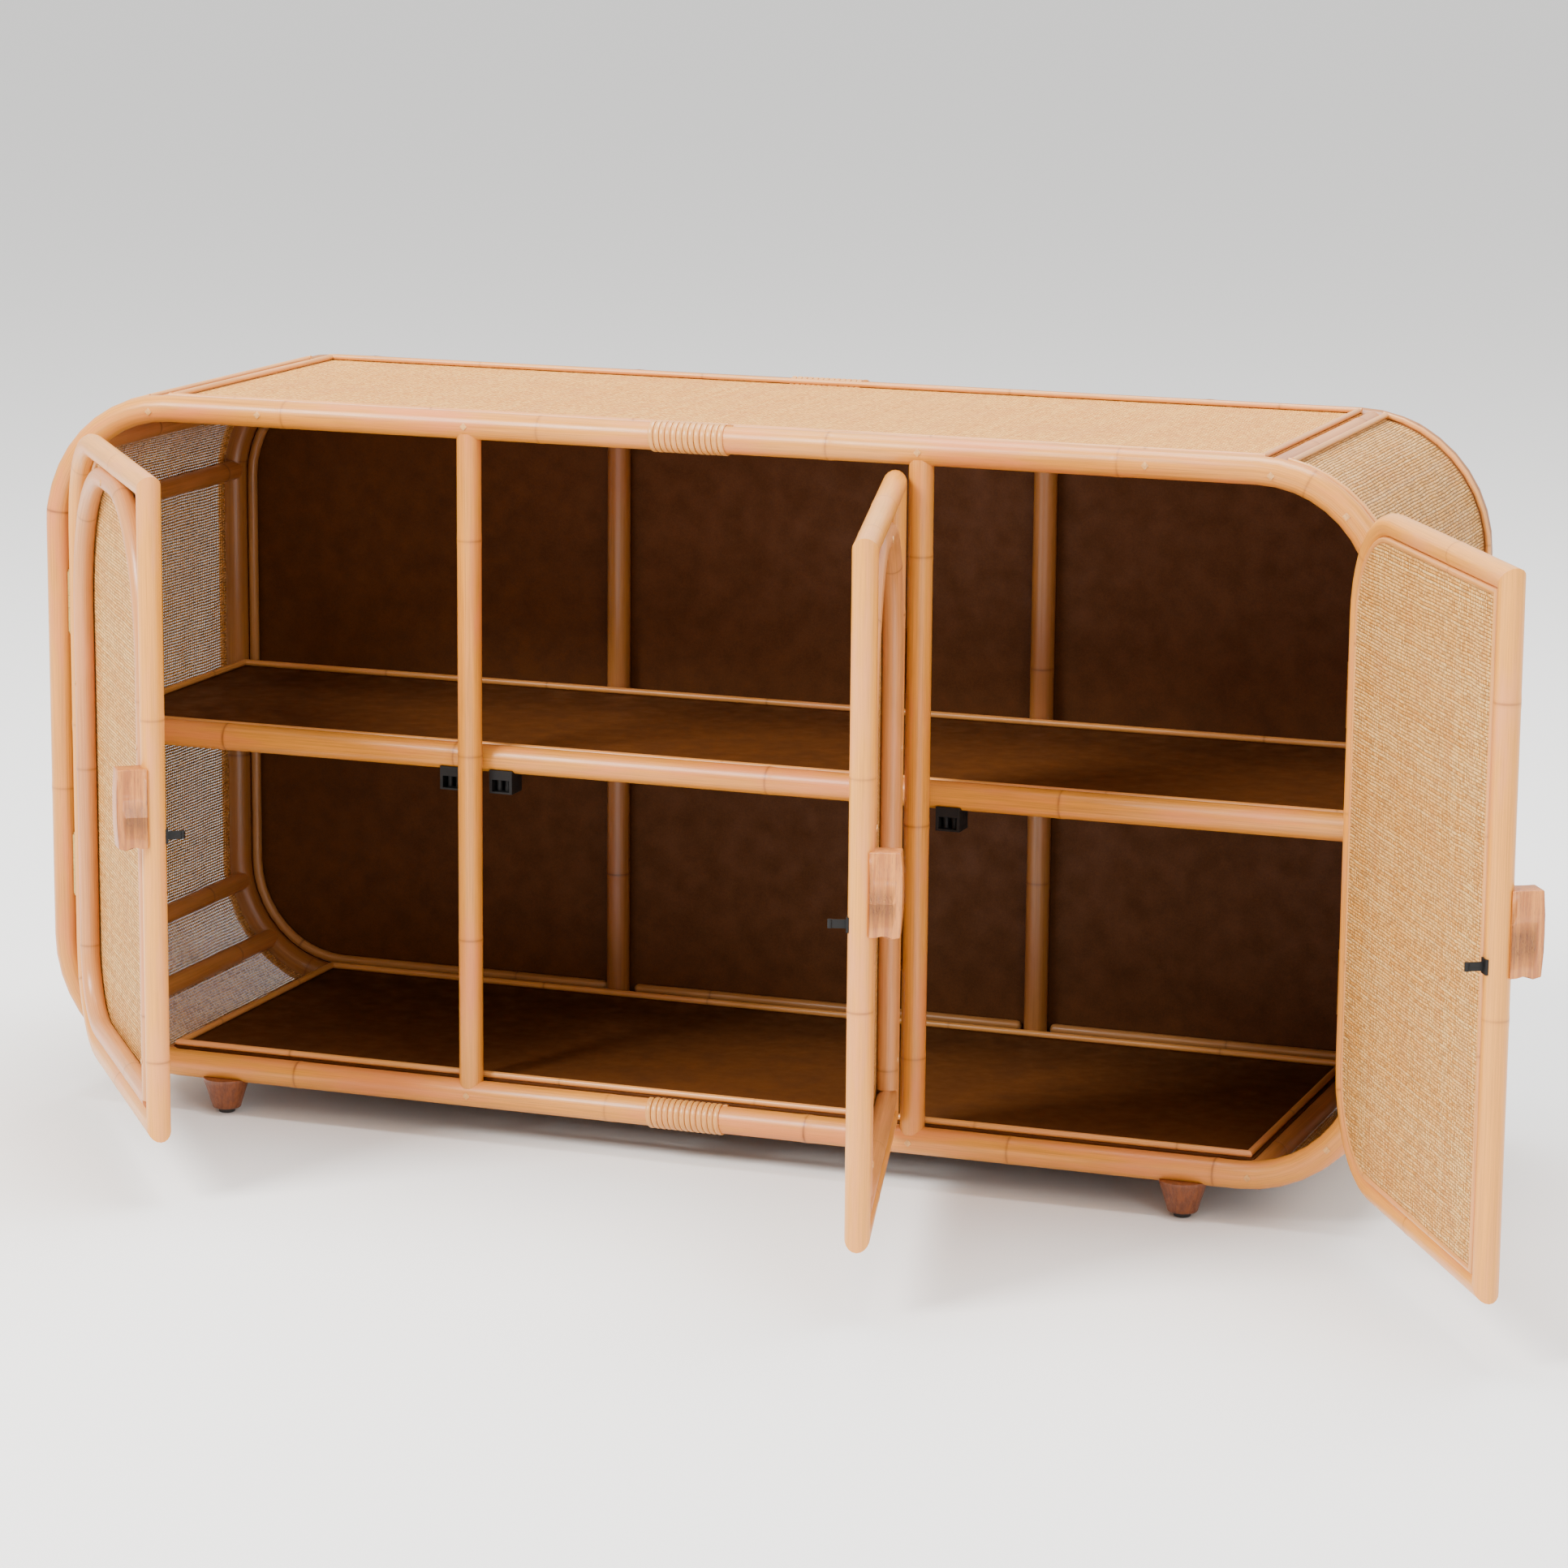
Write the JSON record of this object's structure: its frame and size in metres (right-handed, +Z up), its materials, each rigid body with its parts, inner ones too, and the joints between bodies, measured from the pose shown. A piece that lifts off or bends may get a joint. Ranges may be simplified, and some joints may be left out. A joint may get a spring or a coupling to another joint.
{
  "type": "shoe cabinet",
  "caption": "Low cane shoe cabinet with rounded ends: bent pole frame, woven cane top, sides and hinged doors with arches, one shelf inside and short turned feet.",
  "frame": {"origin": "on the floor, midway in the cabinet's width and midway between the front and back rings", "axes": "+X to the right seen from the front, +Y from the front to the back, +Z up"},
  "size_m": [1.6641, 0.8779, 0.758],
  "materials": {
    "pole": "satin lacquer over honey rattan",
    "binding_cane": "satin",
    "cross_pole": "satin lacquer, pinkish rattan",
    "cane_web": "matt woven cane with small open gaps",
    "bead_cane": "satin",
    "brown_board": "matt fibreboard",
    "strip_pole": "satin",
    "foot_wood": "satin",
    "glide": "matt",
    "black_plastic": "satin",
    "peg_wood": "satin",
    "hinge_brass": "dull polished",
    "door_pole": "satin lacquer over pale rattan",
    "arch_pole": "satin lacquer over rattan",
    "handle_wood": "satin, fine grain"
  },
  "bodies": {
    "cabinet": {"front_ring_left": "pole", "front_ring_right": "pole", "back_ring_left": "pole", "back_ring_right": "pole", "ring_bindings": "binding_cane", "upright_front_left": "pole", "upright_front_right": "pole", "uprights_back": "pole", "shelf_rail_front": "pole", "shelf_bearers": "cross_pole", "cross_poles_left": "cross_pole", "cross_poles_right": "cross_pole", "support_rails": "cross_pole", "top_panel": "cane_web", "side_panel_left": "cane_web", "side_panel_right": "cane_web", "top_beads": "bead_cane", "side_beads_left": "bead_cane", "side_beads_right": "bead_cane", "shelf_board": "brown_board", "bottom_board": "brown_board", "back_board": "brown_board", "shelf_beads": "bead_cane", "bottom_beads": "bead_cane", "back_strips": "strip_pole", "feet": "foot_wood", "foot_glides": "glide", "catch_housings": "black_plastic", "pole_pegs": "peg_wood", "frame_hinge_leaves": "hinge_brass"},
    "door_left": {"left_door_frame": "door_pole", "left_door_stile": "door_pole", "left_door_panel": "cane_web", "left_door_bead": "bead_cane", "left_door_arch": "arch_pole", "left_door_handle": "handle_wood", "left_door_strike": "black_plastic", "left_door_leaves": "hinge_brass"},
    "door_middle": {"middle_door_frame": "door_pole", "middle_door_stile": "door_pole", "middle_door_panel": "cane_web", "middle_door_bead": "bead_cane", "middle_door_arch": "arch_pole", "middle_door_handle": "handle_wood", "middle_door_strike": "black_plastic", "middle_door_leaves": "hinge_brass"},
    "door_right": {"right_door_frame": "door_pole", "right_door_stile": "door_pole", "right_door_panel": "cane_web", "right_door_bead": "bead_cane", "right_door_arch": "arch_pole", "right_door_handle": "handle_wood", "right_door_strike": "black_plastic", "right_door_leaves": "hinge_brass"},
    "roller_left_a": {"roller_left_a": "black_plastic"},
    "roller_left_b": {"roller_left_b": "black_plastic"},
    "roller_middle_a": {"roller_middle_a": "black_plastic"},
    "roller_middle_b": {"roller_middle_b": "black_plastic"},
    "roller_right_a": {"roller_right_a": "black_plastic"},
    "roller_right_b": {"roller_right_b": "black_plastic"}
  },
  "joints": [
    {"name": "left_door_hinge", "type": "hinge", "parent": "cabinet", "child": "door_left", "pos_m": [-0.6905, -0.212, 0.395], "axis": [0, 0, 1], "range_deg": [-72.5, 52.5]},
    {"name": "middle_door_hinge", "type": "hinge", "parent": "cabinet", "child": "door_middle", "pos_m": [0.2265, -0.212, 0.395], "axis": [0, 0, 1], "range_deg": [-105.5, 9.5]},
    {"name": "right_door_hinge", "type": "hinge", "parent": "cabinet", "child": "door_right", "pos_m": [0.6905, -0.212, 0.395], "axis": [0, 0, 1], "range_deg": [-121.5, 3.5]},
    {"name": "roller_left_a_spread", "type": "slide", "parent": "cabinet", "child": "roller_left_a", "axis": [-1, 0, 0], "range_m": [0, 0.0014], "stiffness_N_per_m": 1500},
    {"name": "roller_left_b_spread", "type": "slide", "parent": "cabinet", "child": "roller_left_b", "axis": [1, 0, 0], "range_m": [0, 0.0014], "stiffness_N_per_m": 1500},
    {"name": "roller_middle_a_spread", "type": "slide", "parent": "cabinet", "child": "roller_middle_a", "axis": [-1, 0, 0], "range_m": [0, 0.0014], "stiffness_N_per_m": 1500},
    {"name": "roller_middle_b_spread", "type": "slide", "parent": "cabinet", "child": "roller_middle_b", "axis": [1, 0, 0], "range_m": [0, 0.0014], "stiffness_N_per_m": 1500},
    {"name": "roller_right_a_spread", "type": "slide", "parent": "cabinet", "child": "roller_right_a", "axis": [-1, 0, 0], "range_m": [0, 0.0014], "stiffness_N_per_m": 1500},
    {"name": "roller_right_b_spread", "type": "slide", "parent": "cabinet", "child": "roller_right_b", "axis": [1, 0, 0], "range_m": [0, 0.0014], "stiffness_N_per_m": 1500}
  ]
}
